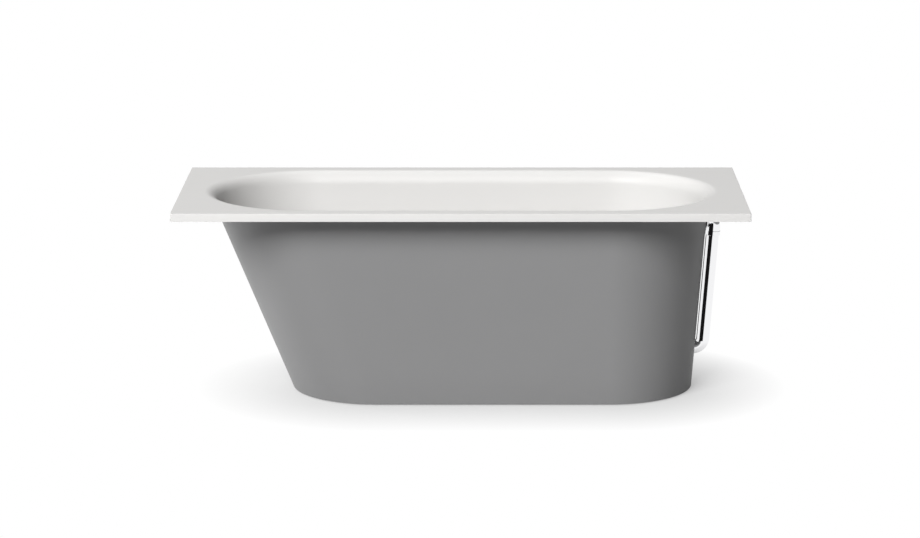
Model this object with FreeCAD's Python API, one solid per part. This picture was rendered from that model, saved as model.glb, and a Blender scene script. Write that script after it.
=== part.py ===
import FreeCAD, Part
import math
import os

# Built-in bathtub for an alcove: a flat rectangular deck with a soft-lipped oval basin, a grey
# tapered casing bonded under it, a chromed overflow pipe outside the foot end, a push-open
# waste with its trap, and a steel underframe on four levelling feet.
# Millimetres. Origin on the floor under the middle of the deck; +X to the foot end (overflow),
# +Y to the back wall, +Z up.

# ---- deck and overall height ----
deck_length = 1700.0
deck_width = 750.0
deck_thickness = 24.0
deck_corner_radius = 2.5
deck_edge_radius = 1.2
overall_height = 608.0

# ---- casing: a stadium in plan that narrows downwards ----
side_overhang = 69.0  # deck past the casing along both long sides
foot_overhang = 101.5  # deck past the casing's round foot end
head_overhang = 95.5  # deck past the top of the sloping backrest
side_taper = 44.0  # each side draws in by this much from deck to floor
backrest_run = 239.0  # the backrest draws in by this much from deck to floor
casing_wall = 5.0
casing_floor_gap = 3.0

# ---- basin ----
bond_gap = 0.5  # bonding compound between casing and basin
basin_wall = 8.5
waste_level = 172.0  # basin floor at the waste, above the room's floor
basin_floor_radius = 90.0
basin_floor_fall = 10.0
lip_radius = 42.0

# ---- pipes ----
pipe_radius = 20.0
pipe_wall = 1.8
pipe_hole_clearance = 2.0
fitting_clearance = 0.5
slip_clearance = 0.05

# ---- overflow ----
overflow_drop = 88.0  # deck to the middle of the overflow
overflow_pipe_standoff = 3.5
overflow_elbow_radius = 22.0
overflow_elbow_wall = 4.5
overflow_socket_drop = 44.0  # middle of the overflow down to the mouth of the elbow
overflow_socket_depth = 16.0
overflow_shank_setback = 1.0
overflow_thread_radius = 21.2
overflow_thread_length = 9.0
overflow_flange_radius = 29.0
overflow_flange_thickness = 4.0
overflow_gasket_thickness = 2.5
overflow_nut_length = 14.0
overflow_nut_radius = 23.0
overflow_nut_edge = 0.8
overflow_seal_length = 3.0
overflow_bend_radius = 30.0
overflow_cover_radius = 36.0
overflow_cover_depth = 12.0
overflow_cover_wall = 2.2
overflow_cover_edge = 3.0
overflow_cover_gap = 1.0
overflow_seat_margin = 2.0
overflow_ring_radius = 33.0
overflow_ring_thickness = 3.0
overflow_ring_bore = 14.0
overflow_ring_spigot = 12.0
overflow_ring_bar_width = 7.0
overflow_ring_seal_thickness = 1.5
overflow_slot_width = 44.0
overflow_slot_top = 21.6
overflow_screw_radius = 2.5
overflow_screw_head_height = 1.8
overflow_boss_radius = 5.5
overflow_boss_height = 6.0

# ---- waste ----
waste_setback = 159.5  # casing's foot end at floor level to the middle of the waste
waste_hole_radius = 26.0
waste_recess_radius = 39.0
waste_recess_depth = 3.0
waste_seal_thickness = 1.0
waste_seal_margin = 1.0
waste_flange_radius = 37.0
waste_flange_rim = 2.4
waste_flange_bevel = 1.2
waste_tube_wall = 2.5
waste_tube_reach = 20.5  # threaded tail below the underside of the basin
waste_seat_radius = 31.0
waste_seat_run = 6.5
waste_seat_drop = 2.9
waste_seat_lip = 1.5
waste_hub_radius = 9.5
waste_spoke_drop = 17.0
waste_spoke_height = 6.0
waste_spoke_width = 3.0
waste_gasket_radius = 40.0
waste_gasket_thickness = 3.0
waste_body_flange = 5.0
waste_body_cone = 7.0
waste_body_radius = 29.0
waste_body_floor = 4.0
waste_chamber_radius = 24.0
waste_thread_radius = 23.9
waste_thread_length = 12.0

# ---- side socket of the waste, which takes the overflow pipe ----
tee_drop = 54.0  # basin floor down to the middle of the socket
tee_wall = 4.0
tee_socket_length = 48.0
tee_socket_depth = 18.0
tee_pipe_gap = 1.0
tee_thread_radius = 22.6
tee_thread_length = 10.0
tee_nut_flats = 54.0
tee_nut_grip = 9.0
tee_seal_length = 3.0

# ---- plug ----
plug_cap_radius = 33.0
plug_cap_height = 5.6
plug_cap_rim = 1.2
plug_cap_gap = 0.5
plug_lift = 9.0
plug_stem_radius = 4.0
plug_stem_grip = 6.5
plug_cartridge_radius = 5.5
plug_cartridge_length = 18.0
plug_cartridge_top = 5.0
plug_cartridge_floor = 1.5
plug_collar_radius = 8.0
plug_collar_height = 2.0
plug_seal_height = 2.2
plug_seal_width = 4.0
plug_seal_clearance = 0.75
plug_seal_bevel = 0.3

# ---- trap ----
trap_bend_radius = 35.0
trap_leg_spacing = 76.0
trap_floor_clearance = 8.0
trap_outlet_height = 114.0
trap_outlet_bend_radius = 30.0
trap_outlet_length = 50.0
trap_flange_radius = 23.5
trap_thread_length = 8.0
union_nut_flats = 56.0
union_nut_length = 19.0
union_flange = 3.0
union_seal = 3.0
union_gap = 1.0
nut_thread_clearance = 0.1
nut_pipe_clearance = 0.3
cleaning_boss_radius = 14.0
cleaning_boss_reach = 30.0
cleaning_bore_radius = 8.0
cleaning_plug_height = 7.0
cleaning_grip_width = 22.0
cleaning_grip_thickness = 4.0
cleaning_grip_height = 5.6
cleaning_shank_length = 6.0

# ---- underframe ----
board_thickness = 16.0
board_head_inset = 25.5
board_foot_inset = 104.5
board_side_inset = 97.0
board_corner_share = 0.6
board_slot_half_width = 55.0
head_rail_inset = 130.0
waste_to_rail = 245.0
rail_end_margin = 30.0
rail_width = 45.0
rail_height = 25.0
rail_sheet = 2.5
rail_bend_radius = 5.0
screw_rows = (-2 / 3, -1 / 3, 1 / 3, 2 / 3)  # shares of the way from the middle to the feet
screw_shank_radius = 2.0
screw_head_radius = 4.5
screw_head_height = 2.5
screw_head_round = 1.5
screw_length = 13.0

# ---- levelling feet ----
foot_rod_radius = 6.0
foot_rod_chamfer = 1.0
foot_rod_hole_clearance = 1.5
foot_pad_radius = 30.0
foot_pad_height = 6.0
foot_pad_edge = 1.5
foot_pad_shoulder = 3.0
foot_boss_radius = 13.0
foot_boss_fillet = 2.0
foot_boss_height = 9.0
foot_socket_floor = 4.0
foot_travel = 15.0
foot_nut_flats = 19.0
foot_nut_height = 10.0
nut_bevel_share = 0.7

# ---- places worked out from the sizes above ----
casing_half_width_top = deck_width / 2 - side_overhang
casing_half_width_base = casing_half_width_top - side_taper
foot_end_centre_x = deck_length / 2 - foot_overhang - casing_half_width_top
foot_end_base_x = foot_end_centre_x + casing_half_width_base
backrest_tip_top_x = head_overhang - deck_length / 2
backrest_tip_base_x = backrest_tip_top_x + backrest_run
deck_underside = overall_height - deck_thickness
tub_underside = waste_level - basin_wall
board_underside = tub_underside - board_thickness
casing_height = deck_underside - casing_floor_gap
casing_draft = math.atan(side_taper / casing_height)
backrest_lean = math.atan(backrest_run / casing_height)
wall_stack = casing_wall + bond_gap + basin_wall
waste_x = foot_end_base_x - waste_setback
overflow_inlet_height = waste_level - tee_drop
pipe_bore = pipe_radius - pipe_wall
pipe_socket = pipe_radius + slip_clearance

X_AXIS = FreeCAD.Vector(1, 0, 0)
Y_AXIS = FreeCAD.Vector(0, 1, 0)
Z_AXIS = FreeCAD.Vector(0, 0, 1)
ORIGIN = FreeCAD.Vector(0, 0, 0)
through = 40.0  # how far a cutting tool runs past the wall that it opens
nudge = 1.0  # a short overlap between fused pieces, or past a face that is cut
near = 0.01


def vec(x, y, z):
    return FreeCAD.Vector(x, y, z)


def cylinder(radius, start, end):
    """Solid round bar between two points."""
    return Part.makeCylinder(radius, (end - start).Length, start, end - start)


def upright(radius, low, high, x=0.0, y=0.0):
    """Solid round bar about the vertical line through (x, y)."""
    return cylinder(radius, vec(x, y, low), vec(x, y, high))


def ring(outer, inner, low, high, x=0.0, y=0.0):
    """Flat-ended ring about the vertical line through (x, y)."""
    return upright(outer, low, high, x, y).cut(upright(inner, low - nudge, high + nudge, x, y))


def turned(profile, x=0.0, y=0.0):
    """Revolve a closed profile of (radius, height) points about a vertical line."""
    points = [vec(radius, 0, height) for radius, height in profile]
    solid = Part.Face(Part.makePolygon(points + points[:1])).revolve(ORIGIN, Z_AXIS, 360)
    solid.translate(vec(x, y, 0))
    return solid


def hexagon(flats, low, high, x=0.0, y=0.0):
    """Hexagonal prism with its corners turned off at both ends, as on a nut."""
    corner = flats / math.sqrt(3)
    turns = [math.radians(60 * side) for side in range(6)]
    points = [vec(x + corner * math.cos(turn), y + corner * math.sin(turn), low) for turn in turns]
    prism = Part.Face(Part.makePolygon(points + points[:1])).extrude(vec(0, 0, high - low))
    bevel = (corner - flats / 2) * nut_bevel_share
    drum = turned([(0, low), (corner - bevel, low), (corner, low + bevel), (corner, high - bevel),
                   (corner - bevel, high), (0, high)], x, y)
    return prism.common(drum)


def rounded_path(points, radius):
    """Wire through the points with each inner corner replaced by a tangent arc."""
    edges = []
    start = points[0]
    for before, corner, after in zip(points, points[1:], points[2:]):
        back = (before - corner).normalize()
        onward = (after - corner).normalize()
        half_turn = (math.pi - back.getAngle(onward)) / 2
        reach = radius * math.tan(half_turn)
        enter = corner + back * reach
        leave = corner + onward * reach
        middle = corner + (back + onward).normalize() * (radius / math.cos(half_turn) - radius)
        if (enter - start).Length > near:
            edges.append(Part.LineSegment(start, enter).toShape())
        edges.append(Part.Arc(enter, middle, leave).toShape())
        start = leave
    edges.append(Part.LineSegment(start, points[-1]).toShape())
    return Part.Wire(edges)


def rod_along(points, bend_radius, radius):
    """Solid round bar swept along a path with rounded corners."""
    section = Part.Wire(Part.makeCircle(radius, points[0], points[1] - points[0]))
    return rounded_path(points, bend_radius).makePipeShell([section], True, False)


def closed_edges_at(shape, axis, level):
    """Round edges whose middle lies at one level along an axis."""
    return [edge for edge in shape.Edges if edge.Closed and abs(edge.CenterOfMass.dot(axis) - level) < near]


def corner_edges(box):
    """The four upright edges of a block."""
    return [edge for edge in box.Edges if abs(edge.tangentAt(edge.FirstParameter).z) > 0.9]


# ---- the skins of the tub ----

def casing_half_width(z):
    return casing_half_width_base + (z - casing_floor_gap) * math.tan(casing_draft)


def backrest_tip(z):
    return backrest_tip_base_x - (z - casing_floor_gap) * math.tan(backrest_lean)


def skin_section(z, inset):
    """Outline at height z of the skin that lies inset mm inside the casing's outer face."""
    half = casing_half_width(z) - inset / math.cos(casing_draft)
    left = backrest_tip(z) + inset / math.cos(backrest_lean) + half
    right = foot_end_centre_x
    slant = half * math.sqrt(0.5)
    front_left = vec(left, -half, z)
    front_right = vec(right, -half, z)
    foot_tip = vec(right + half, 0, z)
    back_right = vec(right, half, z)
    back_left = vec(left, half, z)
    head_tip = vec(left - half, 0, z)
    return Part.Wire([
        Part.LineSegment(front_left, front_right).toShape(),
        Part.Arc(front_right, vec(right + slant, -slant, z), foot_tip).toShape(),
        Part.Arc(foot_tip, vec(right + slant, slant, z), back_right).toShape(),
        Part.LineSegment(back_right, back_left).toShape(),
        Part.Arc(back_left, vec(left - slant, slant, z), head_tip).toShape(),
        Part.Arc(head_tip, vec(left - slant, -slant, z), front_left).toShape(),
    ])


def skin_solid(low, high, inset):
    return Part.makeLoft([skin_section(low, inset), skin_section(high, inset)], True, True)


def edges_at(shape, test):
    return [edge for edge in shape.Edges if all(test(vertex.Point) for vertex in edge.Vertexes)]


def floor_height(x):
    """Height of the basin floor, which falls towards the waste."""
    run = waste_x - backrest_tip_base_x
    return waste_level + basin_floor_fall * (waste_x - x) / run


def basin_cavity():
    """The water space: tapered walls, a falling floor and a round sweep between them."""
    tall = skin_solid(waste_level - through, overall_height, wall_stack)
    reach = deck_length
    plan = ((-reach, -reach), (reach, -reach), (reach, reach), (-reach, reach))
    corners = [vec(x, y, floor_height(x)) for x, y in plan]
    above_floor = Part.Face(Part.makePolygon(corners + corners[:1])).extrude(vec(0, 0, overall_height))
    cavity = tall.common(above_floor)
    floor_edges = edges_at(cavity, lambda p: abs(p.z - floor_height(p.x)) < near)
    return cavity.makeFillet(basin_floor_radius, floor_edges)


def basin_outside():
    """The back of the basin below the deck, with a flat underside for the base board."""
    body = skin_solid(tub_underside, deck_underside, casing_wall + bond_gap)
    bottom_edges = edges_at(body, lambda p: abs(p.z - tub_underside) < near)
    return body.makeFillet(basin_floor_radius + basin_wall, bottom_edges)


def overflow_frame():
    """Placement at the casing's foot end: local x points outwards, local z up the wall."""
    height = overall_height - overflow_drop
    origin = vec(foot_end_centre_x + casing_half_width(height), 0, height)
    return FreeCAD.Placement(origin, FreeCAD.Rotation(Y_AXIS, math.degrees(casing_draft)))


def at_overflow(shape):
    """Move a shape drawn in the overflow's own frame to its place on the tub."""
    moved = shape.copy()
    moved.Placement = overflow_frame().multiply(moved.Placement)
    return moved


def bar_x(radius, start, end):
    """Solid round bar along local x."""
    return cylinder(radius, vec(start, 0, 0), vec(end, 0, 0))


def ring_x(outer, inner, start, end):
    return bar_x(outer, start, end).cut(bar_x(inner, start - nudge, end + nudge))


def make_tub():
    """Deck and basin in one moulding, with the soft lip, the overflow hole and the sunk waste seat."""
    deck = Part.makeBox(deck_length, deck_width, deck_thickness,
                        vec(-deck_length / 2, -deck_width / 2, deck_underside))
    deck = deck.makeFillet(deck_corner_radius, corner_edges(deck))
    deck = deck.makeFillet(deck_edge_radius, edges_at(deck, lambda p: abs(p.z - overall_height) < near))
    tub = deck.fuse(basin_outside()).cut(basin_cavity()).removeSplitter()
    inside = casing_half_width(overall_height)
    mouth = [edge for edge in edges_at(tub, lambda p: abs(p.z - overall_height) < near)
             if edge.BoundBox.YMax < inside and edge.BoundBox.YMin > -inside]
    tub = tub.makeFillet(lip_radius, mouth)
    seat_radius = overflow_cover_radius + overflow_seat_margin
    seat = at_overflow(bar_x(seat_radius, -wall_stack - through, -wall_stack))
    hole = at_overflow(bar_x(overflow_elbow_radius + fitting_clearance, -wall_stack - through, through))
    recess = upright(waste_recess_radius, waste_level - waste_recess_depth,
                     waste_level + waste_recess_depth, waste_x)
    drain = upright(waste_hole_radius, tub_underside - through, waste_level, waste_x)
    return tub.cut(seat).cut(hole).cut(recess).cut(drain)


def make_casing():
    outside = skin_solid(casing_floor_gap, deck_underside, 0)
    hollow = skin_solid(casing_floor_gap - through, deck_underside + through, casing_wall)
    hole = at_overflow(bar_x(overflow_elbow_radius + fitting_clearance, -through, through))
    pipe_hole = cylinder(pipe_radius + pipe_hole_clearance, vec(foot_end_centre_x, 0, overflow_inlet_height),
                         vec(deck_length / 2, 0, overflow_inlet_height))
    return outside.cut(hollow).cut(hole).cut(pipe_hole)


# ---- overflow set, drawn in its own frame ----

pipe_axis_x = pipe_radius + overflow_pipe_standoff
elbow_bore = overflow_elbow_radius - overflow_elbow_wall
elbow_end_x = overflow_shank_setback - wall_stack
flange_face = overflow_gasket_thickness
socket_mouth = -overflow_socket_drop
tube_stop = socket_mouth + overflow_socket_depth
nut_shoulder = socket_mouth - overflow_seal_length
nut_end = socket_mouth + overflow_thread_length - overflow_nut_length
ring_back = -wall_stack - overflow_ring_seal_thickness
ring_front = ring_back - overflow_ring_thickness
cover_front = ring_back - overflow_cover_depth
boss_end = ring_front + overflow_boss_height


def on_pipe(height):
    """Point on the pipe's axis beside the casing."""
    return vec(pipe_axis_x, 0, height)


def make_overflow_elbow():
    """Shank through the wall, flange, quarter bend and threaded socket in one piece."""
    route = [vec(elbow_end_x, 0, 0), on_pipe(0), on_pipe(socket_mouth)]
    size = 2 * overflow_socket_drop
    outdoors = Part.makeBox(size, size, size, vec(flange_face, -size / 2, -size / 2))
    shank = bar_x(overflow_elbow_radius, elbow_end_x, flange_face + nudge)
    body = rod_along(route, pipe_axis_x, overflow_elbow_radius).common(outdoors).fuse(shank)
    flange = bar_x(overflow_flange_radius, flange_face, flange_face + overflow_flange_thickness)
    thread_top = on_pipe(socket_mouth + overflow_thread_length)
    relief = cylinder(overflow_elbow_radius + nudge, on_pipe(socket_mouth), thread_top)
    relief = relief.cut(cylinder(overflow_thread_radius, on_pipe(socket_mouth), thread_top))
    socket = cylinder(pipe_socket, on_pipe(tube_stop), on_pipe(socket_mouth - nudge))
    bore = rod_along(route, pipe_axis_x, elbow_bore)
    return at_overflow(body.fuse(flange).cut(relief).cut(bore).cut(socket))


def make_overflow_gasket():
    """Washer whose back follows the round of the casing."""
    washer = ring_x(overflow_flange_radius - fitting_clearance, overflow_elbow_radius + fitting_clearance,
                    -overflow_gasket_thickness, flange_face)
    return at_overflow(washer).cut(skin_solid(casing_floor_gap, deck_underside, 0))


def make_overflow_nut():
    body = cylinder(overflow_nut_radius, on_pipe(nut_end), on_pipe(nut_end + overflow_nut_length))
    body = body.makeChamfer(overflow_nut_edge, [edge for edge in body.Edges if edge.Closed])
    thread = cylinder(overflow_thread_radius + slip_clearance, on_pipe(nut_shoulder),
                      on_pipe(nut_end + overflow_nut_length + nudge))
    passage = cylinder(pipe_socket, on_pipe(nut_end - nudge), on_pipe(nut_shoulder + nudge))
    return at_overflow(body.cut(thread).cut(passage))


def make_overflow_tube_seal():
    body = cylinder(overflow_thread_radius, on_pipe(nut_shoulder), on_pipe(socket_mouth))
    passage = cylinder(pipe_socket, on_pipe(nut_shoulder - nudge), on_pipe(socket_mouth + nudge))
    return at_overflow(body.cut(passage))


def make_overflow_tube():
    """Pipe down along the casing that turns level and runs through it into the waste's side socket."""
    frame = overflow_frame()
    top = frame.multVec(on_pipe(tube_stop))
    down = frame.Rotation.multVec(Z_AXIS) * -1
    corner = top + down * ((overflow_inlet_height - top.z) / down.z)
    end = vec(waste_x + tee_socket_length - tee_socket_depth + tee_pipe_gap, 0, overflow_inlet_height)
    route = [top, corner, end]
    body = rod_along(route, overflow_bend_radius, pipe_radius)
    return body.cut(rod_along(route, overflow_bend_radius, pipe_bore))


def make_overflow_ring():
    """Threaded ring inside the basin, with the bar and hub that take the cover's screw."""
    flange = bar_x(overflow_ring_radius, ring_front, ring_back)
    spigot = bar_x(elbow_bore - slip_clearance, ring_front, ring_back + overflow_ring_spigot)
    body = flange.fuse(spigot).cut(bar_x(overflow_ring_bore, ring_front - nudge, through))
    span = overflow_ring_bore + nudge
    bar = Part.makeBox(overflow_ring_thickness + 2 * nudge, overflow_ring_bar_width, 2 * span,
                       vec(ring_front, -overflow_ring_bar_width / 2, -span))
    hub = bar_x(overflow_boss_radius, ring_front, boss_end)
    screw_hole = bar_x(overflow_screw_radius, ring_front - nudge, boss_end + nudge)
    return at_overflow(body.fuse(bar).fuse(hub).cut(screw_hole))


def make_overflow_ring_seal():
    return at_overflow(ring_x(overflow_ring_radius - fitting_clearance, overflow_elbow_radius + nudge,
                              ring_back, -wall_stack))


def make_overflow_cover():
    """Round dished cover whose lower edge is open to let the water in."""
    body = bar_x(overflow_cover_radius, cover_front, -wall_stack - overflow_cover_gap)
    body = body.makeFillet(overflow_cover_edge, closed_edges_at(body, X_AXIS, cover_front))
    hollow = bar_x(overflow_cover_radius - overflow_cover_wall, cover_front + overflow_cover_wall, through)
    boss = bar_x(overflow_boss_radius, cover_front + nudge, ring_front)
    slot = Part.makeBox(through, overflow_slot_width, overflow_cover_radius,
                        vec(cover_front + overflow_cover_wall + nudge, -overflow_slot_width / 2,
                            -overflow_slot_top - overflow_cover_radius))
    hole = bar_x(overflow_screw_radius, cover_front - nudge, ring_front + nudge)
    return at_overflow(body.cut(hollow).fuse(boss).cut(slot).cut(hole))


def make_overflow_screw():
    head = Part.makeCone(2 * overflow_screw_radius, overflow_screw_radius, overflow_screw_head_height,
                         vec(cover_front - overflow_screw_head_height, 0, 0), X_AXIS)
    shank = bar_x(overflow_screw_radius - slip_clearance, cover_front - nudge, boss_end)
    return at_overflow(head.fuse(shank))


# ---- waste and plug ----

tube_radius = waste_hole_radius - fitting_clearance
tube_bore = tube_radius - waste_tube_wall
flange_back = waste_level - waste_recess_depth + waste_seal_thickness
flange_top = flange_back + waste_flange_rim
seat_low = flange_top - waste_seat_drop
seat_inner = waste_seat_radius - waste_seat_run
thread_foot = tub_underside - waste_tube_reach
spoke_low = waste_level - waste_spoke_drop
spoke_high = spoke_low + waste_spoke_height
cartridge_top = spoke_high + plug_cartridge_top
cartridge_foot = cartridge_top - plug_cartridge_length
body_top = tub_underside - waste_gasket_thickness
chamber_low = overflow_inlet_height - pipe_radius - waste_body_floor
chamber_floor = chamber_low + waste_body_floor
outlet_end = chamber_low - waste_thread_length


def make_waste_flange():
    """Drain flange with its sunk seat, its threaded tail and three spokes that carry the plug."""
    body = turned([(tube_bore, thread_foot), (tube_radius, thread_foot), (tube_radius, flange_back),
                   (waste_flange_radius, flange_back), (waste_flange_radius, flange_top - waste_flange_bevel),
                   (waste_flange_radius - waste_flange_bevel, flange_top), (waste_seat_radius, flange_top),
                   (seat_inner, seat_low), (tube_bore, seat_low - waste_seat_lip)])
    spokes = upright(waste_hub_radius, spoke_low, spoke_high)
    for turn in (0, 120, 240):
        spoke = Part.makeBox(tube_bore + nudge, waste_spoke_width, waste_spoke_height,
                             vec(0, -waste_spoke_width / 2, spoke_low))
        spoke.rotate(ORIGIN, Z_AXIS, turn)
        spokes = spokes.fuse(spoke)
    bore_radius = plug_cartridge_radius + slip_clearance
    spokes = spokes.cut(upright(bore_radius, spoke_low - nudge, spoke_high + nudge))
    body = body.fuse(spokes)
    body.translate(vec(waste_x, 0, 0))
    return body


def make_waste_flange_seal():
    return ring(waste_flange_radius - waste_seal_margin, tube_radius + waste_seal_margin,
                flange_back - waste_seal_thickness, flange_back, waste_x)


def make_waste_gasket():
    return ring(waste_gasket_radius, waste_hole_radius + fitting_clearance, body_top, tub_underside, waste_x)


def make_plug_cartridge():
    shank = upright(plug_cartridge_radius, cartridge_foot, cartridge_top, waste_x)
    collar = upright(plug_collar_radius, spoke_high, spoke_high + plug_collar_height, waste_x)
    bore = upright(plug_stem_radius + slip_clearance, cartridge_foot + plug_cartridge_floor,
                   cartridge_top + nudge, waste_x)
    return shank.fuse(collar).cut(bore)


def make_plug_stem():
    """Pin that still sits in the cartridge by its grip when the plug is fully up."""
    return upright(plug_stem_radius, cartridge_top - plug_lift - plug_stem_grip, flange_top + nudge, waste_x)


def make_plug_cap():
    """Domed cap: an arc turned about the upright axis over a short cylinder rim."""
    rim_low = flange_top + plug_cap_gap
    rim_high = rim_low + plug_cap_rim
    crown = flange_top + plug_cap_height
    rise = crown - rim_high
    sphere_radius = (plug_cap_radius ** 2 + rise ** 2) / (2 * rise)
    half = math.asin(plug_cap_radius / sphere_radius) / 2
    shoulder = vec(sphere_radius * math.sin(half), 0, crown - sphere_radius * (1 - math.cos(half)))
    corners = [vec(0, 0, crown), vec(0, 0, flange_top), vec(waste_seat_radius - nudge, 0, flange_top),
               vec(waste_seat_radius, 0, rim_low), vec(plug_cap_radius, 0, rim_low),
               vec(plug_cap_radius, 0, rim_high)]
    dome = Part.Arc(corners[-1], shoulder, corners[0]).toShape()
    cap = Part.Face(Part.Wire([*Part.makePolygon(corners).Edges, dome])).revolve(ORIGIN, Z_AXIS, 360)
    cap = cap.cut(upright(plug_stem_radius, flange_top - nudge, flange_top + nudge))
    cap.translate(vec(waste_x, 0, 0))
    return cap


def make_plug_seal():
    """Sloping washer under the cap that closes on the flange's seat."""
    low = flange_top - plug_seal_height
    slope = waste_seat_run / waste_seat_drop
    inner = seat_inner - plug_seal_width
    foot = waste_seat_radius - slope * plug_seal_height - plug_seal_clearance
    brim = waste_seat_radius - plug_seal_clearance - plug_seal_bevel
    return turned([(inner, low), (foot, low), (brim, flange_top), (inner, flange_top)], waste_x)


def make_waste_body():
    """Tee under the basin: flanged chamber, threaded outlet and a side socket for the overflow."""
    chamber_top = thread_foot - nudge
    grip = tube_radius + slip_clearance
    body = turned([(pipe_bore, outlet_end), (waste_thread_radius, outlet_end),
                   (waste_thread_radius, chamber_low), (waste_body_radius, chamber_low),
                   (waste_body_radius, body_top - waste_body_flange - waste_body_cone),
                   (waste_gasket_radius, body_top - waste_body_flange), (waste_gasket_radius, body_top),
                   (grip, body_top), (grip, chamber_top), (waste_chamber_radius, chamber_top),
                   (waste_chamber_radius, chamber_floor), (pipe_bore, chamber_floor)])
    axis = overflow_inlet_height

    def along(radius, start, end):
        return cylinder(radius, vec(start, 0, axis), vec(end, 0, axis))

    branch = along(pipe_radius + tee_wall, 0, tee_socket_length - tee_thread_length)
    branch = branch.fuse(along(tee_thread_radius, 0, tee_socket_length))
    branch = branch.cut(upright(waste_chamber_radius, chamber_floor, thread_foot))
    bore = along(pipe_bore, 0, tee_socket_length + nudge)
    socket = along(pipe_socket, tee_socket_length - tee_socket_depth, tee_socket_length + nudge)
    body = body.fuse(branch).cut(bore).cut(socket)
    body.translate(vec(waste_x, 0, 0))
    return body


def along_tee(shape):
    """Turn a shape drawn about +Z to lie along the side socket of the waste body."""
    moved = shape.copy()
    moved.Placement = FreeCAD.Placement(vec(waste_x, 0, overflow_inlet_height), FreeCAD.Rotation(Y_AXIS, 90))
    return moved


def make_tee_nut():
    """Compression nut that holds the overflow pipe in the side socket of the waste body."""
    start = tee_socket_length - tee_nut_grip
    shoulder = tee_socket_length + tee_seal_length
    stop = shoulder + tee_seal_length
    nut = hexagon(tee_nut_flats, start, stop)
    nut = nut.cut(upright(tee_thread_radius + nut_thread_clearance, start - nudge, shoulder))
    return along_tee(nut.cut(upright(pipe_radius + nut_pipe_clearance, start, stop + nudge)))


def make_tee_seal():
    stop = tee_socket_length + tee_seal_length
    return along_tee(ring(tee_thread_radius, pipe_socket, tee_socket_length, stop))


# ---- trap ----

union_joint = outlet_end - union_seal - union_flange - union_gap
outlet_leg_x = waste_x - trap_leg_spacing
trap_middle_x = waste_x - trap_leg_spacing / 2
trap_bottom = trap_floor_clearance + pipe_radius


def make_union_nut(x, joint):
    """Nut that draws a flanged pipe end up against the threaded end above it."""
    flange_low = joint - union_seal - union_flange
    low = flange_low - union_flange
    high = low + union_nut_length
    nut = hexagon(union_nut_flats, low, high, x)
    nut = nut.cut(upright(waste_thread_radius + nut_thread_clearance, flange_low, high + nudge, x))
    return nut.cut(upright(pipe_radius + nut_pipe_clearance, low - nudge, joint, x))


def make_union_seal(x, joint):
    return ring(trap_flange_radius, pipe_bore, joint - union_seal, joint, x)


def from_trap(reach):
    """Point straight in front of the middle of the U-bend."""
    return vec(trap_middle_x, -reach, trap_bottom)


def make_trap_bend():
    """U-bend with a flange on each leg and the threaded boss of the cleaning plug."""
    tops = {waste_x: outlet_end - union_seal, outlet_leg_x: union_joint - union_seal}
    route = [vec(waste_x, 0, tops[waste_x]), vec(waste_x, 0, trap_bottom), vec(outlet_leg_x, 0, trap_bottom),
             vec(outlet_leg_x, 0, tops[outlet_leg_x])]
    body = rod_along(route, trap_bend_radius, pipe_radius)
    for x, top in tops.items():
        body = body.fuse(upright(trap_flange_radius, top - union_flange, top, x))
    body = body.fuse(cylinder(cleaning_boss_radius, from_trap(0), from_trap(cleaning_boss_reach)))
    body = body.cut(cylinder(cleaning_bore_radius, from_trap(0), from_trap(cleaning_boss_reach + nudge)))
    return body.cut(rod_along(route, trap_bend_radius, pipe_bore))


def make_cleaning_plug():
    back = cleaning_boss_reach + cleaning_plug_height
    cap = cylinder(cleaning_boss_radius, from_trap(cleaning_boss_reach), from_trap(back))
    grip = Part.makeBox(cleaning_grip_width, cleaning_grip_height + nudge, cleaning_grip_thickness,
                        from_trap(back + cleaning_grip_height)
                        - vec(cleaning_grip_width / 2, 0, cleaning_grip_thickness / 2))
    shank = cylinder(cleaning_bore_radius - slip_clearance,
                     from_trap(cleaning_boss_reach - cleaning_shank_length),
                     from_trap(cleaning_boss_reach + nudge))
    return cap.fuse(grip).fuse(shank)


def make_trap_outlet():
    """Elbow that turns the trap's outlet level, with its threaded lower end."""
    end_x = outlet_leg_x - trap_outlet_bend_radius - trap_outlet_length
    route = [vec(outlet_leg_x, 0, union_joint), vec(outlet_leg_x, 0, trap_outlet_height),
             vec(end_x, 0, trap_outlet_height)]
    body = rod_along(route, trap_outlet_bend_radius, pipe_radius)
    thread_top = union_joint + trap_thread_length
    body = body.fuse(upright(waste_thread_radius, union_joint, thread_top, outlet_leg_x))
    return body.cut(rod_along(route, trap_outlet_bend_radius, pipe_bore))


# ---- underframe ----

board_left_x = backrest_tip_base_x + board_head_inset
board_right_x = foot_end_base_x - board_foot_inset
board_half_width = casing_half_width_base - board_side_inset
foot_y = board_half_width
rail_xs = {"left": board_left_x + head_rail_inset, "right": waste_x - waste_to_rail}
rail_half_length = foot_y + rail_end_margin
nut_top = board_underside - rail_sheet
weld_nut_low = nut_top - foot_nut_height
lock_nut_low = weld_nut_low - foot_nut_height
rod_top = nut_top + foot_travel


def screw_places():
    return [(x, row * foot_y) for x in rail_xs.values() for row in screw_rows]


def foot_places():
    return [(x, y) for x in rail_xs.values() for y in (-foot_y, foot_y)]


def screw_bar(x, y, clearance):
    return upright(screw_shank_radius + clearance, nut_top - nudge, board_underside + screw_length, x, y)


def drilled(body, rod_hole):
    """Open the holes for the rail's screws and for the rods of the feet."""
    for x, y in screw_places():
        body = body.cut(screw_bar(x, y, slip_clearance))
    for x, y in foot_places():
        body = body.cut(upright(foot_rod_radius + rod_hole, nut_top - nudge,
                                tub_underside + nudge, x, y))
    return body


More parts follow.
